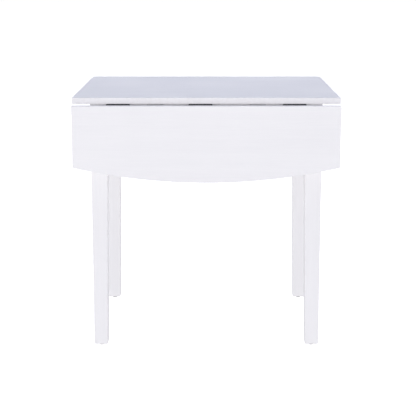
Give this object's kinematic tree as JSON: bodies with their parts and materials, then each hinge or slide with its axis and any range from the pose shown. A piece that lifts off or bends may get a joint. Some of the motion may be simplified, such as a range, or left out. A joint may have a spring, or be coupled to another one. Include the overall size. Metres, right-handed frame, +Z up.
{
  "type": "drop-leaf table",
  "caption": "White dining table with square tapered legs, hanging bowed drop leaves on dark hinges along front and back, and slide-out leaf supports.",
  "frame": {"origin": "on the floor, under the middle of the fixed top", "axes": "+Z up, +X along the hinged edges to the right, -Y to the front leaf"},
  "size_m": [0.762, 0.653, 0.75],
  "materials": {
    "lacquered_top": "white lacquer over fine grain, satin",
    "lacquered_leaf": "white lacquer over fine grain, satin",
    "lacquered_frame": "white lacquer, satin",
    "bare_hardwood": "planed, unfinished",
    "blackened_steel": "black oxide, satin",
    "zinc_steel": "bright zinc plate",
    "bar_steel": "zinc plate, drawn along its length",
    "guide_nylon": "moulded, fine texture",
    "knob_plastic": "moulded, satin",
    "glide_plastic": "moulded, scuffed underneath"
  },
  "bodies": {
    "frame": {"apron_back": "lacquered_frame", "apron_dowels": "bare_hardwood", "apron_front": "lacquered_frame", "apron_left": "lacquered_frame", "apron_right": "lacquered_frame", "bracket_screws": "zinc_steel", "centre_rail": "bare_hardwood", "corner_block_back_left": "bare_hardwood", "corner_block_back_right": "bare_hardwood", "corner_block_front_left": "bare_hardwood", "corner_block_front_right": "bare_hardwood", "glide_back_left": "glide_plastic", "glide_back_right": "glide_plastic", "glide_front_left": "glide_plastic", "glide_front_right": "glide_plastic", "guide_screws": "zinc_steel", "hanger_bolts": "zinc_steel", "hinge_pins_back": "blackened_steel", "hinge_pins_front": "blackened_steel", "hinge_plate_back_left": "blackened_steel", "hinge_plate_back_middle": "blackened_steel", "hinge_plate_back_right": "blackened_steel", "hinge_plate_front_left": "blackened_steel", "hinge_plate_front_middle": "blackened_steel", "hinge_plate_front_right": "blackened_steel", "hinge_screws_top": "blackened_steel", "leg_back_left": "lacquered_frame", "leg_back_right": "lacquered_frame", "leg_front_left": "lacquered_frame", "leg_front_right": "lacquered_frame", "leg_nuts": "zinc_steel", "leg_washers": "zinc_steel", "rail_dowels": "bare_hardwood", "support_guide_back_left": "guide_nylon", "support_guide_back_right": "guide_nylon", "support_guide_front_left": "guide_nylon", "support_guide_front_right": "guide_nylon", "table_top": "lacquered_top", "top_brackets": "zinc_steel"},
    "leaf_front": {"hinge_screws_leaf_front": "blackened_steel", "hinge_strap_front_left": "blackened_steel", "hinge_strap_front_middle": "blackened_steel", "hinge_strap_front_right": "blackened_steel", "leaf_front": "lacquered_leaf"},
    "leaf_back": {"hinge_screws_leaf_back": "blackened_steel", "hinge_strap_back_left": "blackened_steel", "hinge_strap_back_middle": "blackened_steel", "hinge_strap_back_right": "blackened_steel", "leaf_back": "lacquered_leaf"},
    "support_front_left": {"support_bar_front_left": "bar_steel", "support_knob_front_left": "knob_plastic"},
    "support_front_right": {"support_bar_front_right": "bar_steel", "support_knob_front_right": "knob_plastic"},
    "support_back_left": {"support_bar_back_left": "bar_steel", "support_knob_back_left": "knob_plastic"},
    "support_back_right": {"support_bar_back_right": "bar_steel", "support_knob_back_right": "knob_plastic"}
  },
  "joints": [
    {"name": "leaf_front_hinge", "type": "hinge", "parent": "frame", "child": "leaf_front", "pos_m": [0, -0.3055, 0.729], "axis": [-1, 0, 0], "range_deg": [0, 90]},
    {"name": "leaf_back_hinge", "type": "hinge", "parent": "frame", "child": "leaf_back", "pos_m": [0, 0.3055, 0.729], "axis": [1, 0, 0], "range_deg": [0, 90]},
    {"name": "support_front_left_slide", "type": "slide", "parent": "frame", "child": "support_front_left", "axis": [0, -1, 0], "range_m": [0, 0.165]},
    {"name": "support_front_right_slide", "type": "slide", "parent": "frame", "child": "support_front_right", "axis": [0, -1, 0], "range_m": [0, 0.165]},
    {"name": "support_back_left_slide", "type": "slide", "parent": "frame", "child": "support_back_left", "axis": [0, 1, 0], "range_m": [0, 0.165]},
    {"name": "support_back_right_slide", "type": "slide", "parent": "frame", "child": "support_back_right", "axis": [0, 1, 0], "range_m": [0, 0.165]}
  ]
}
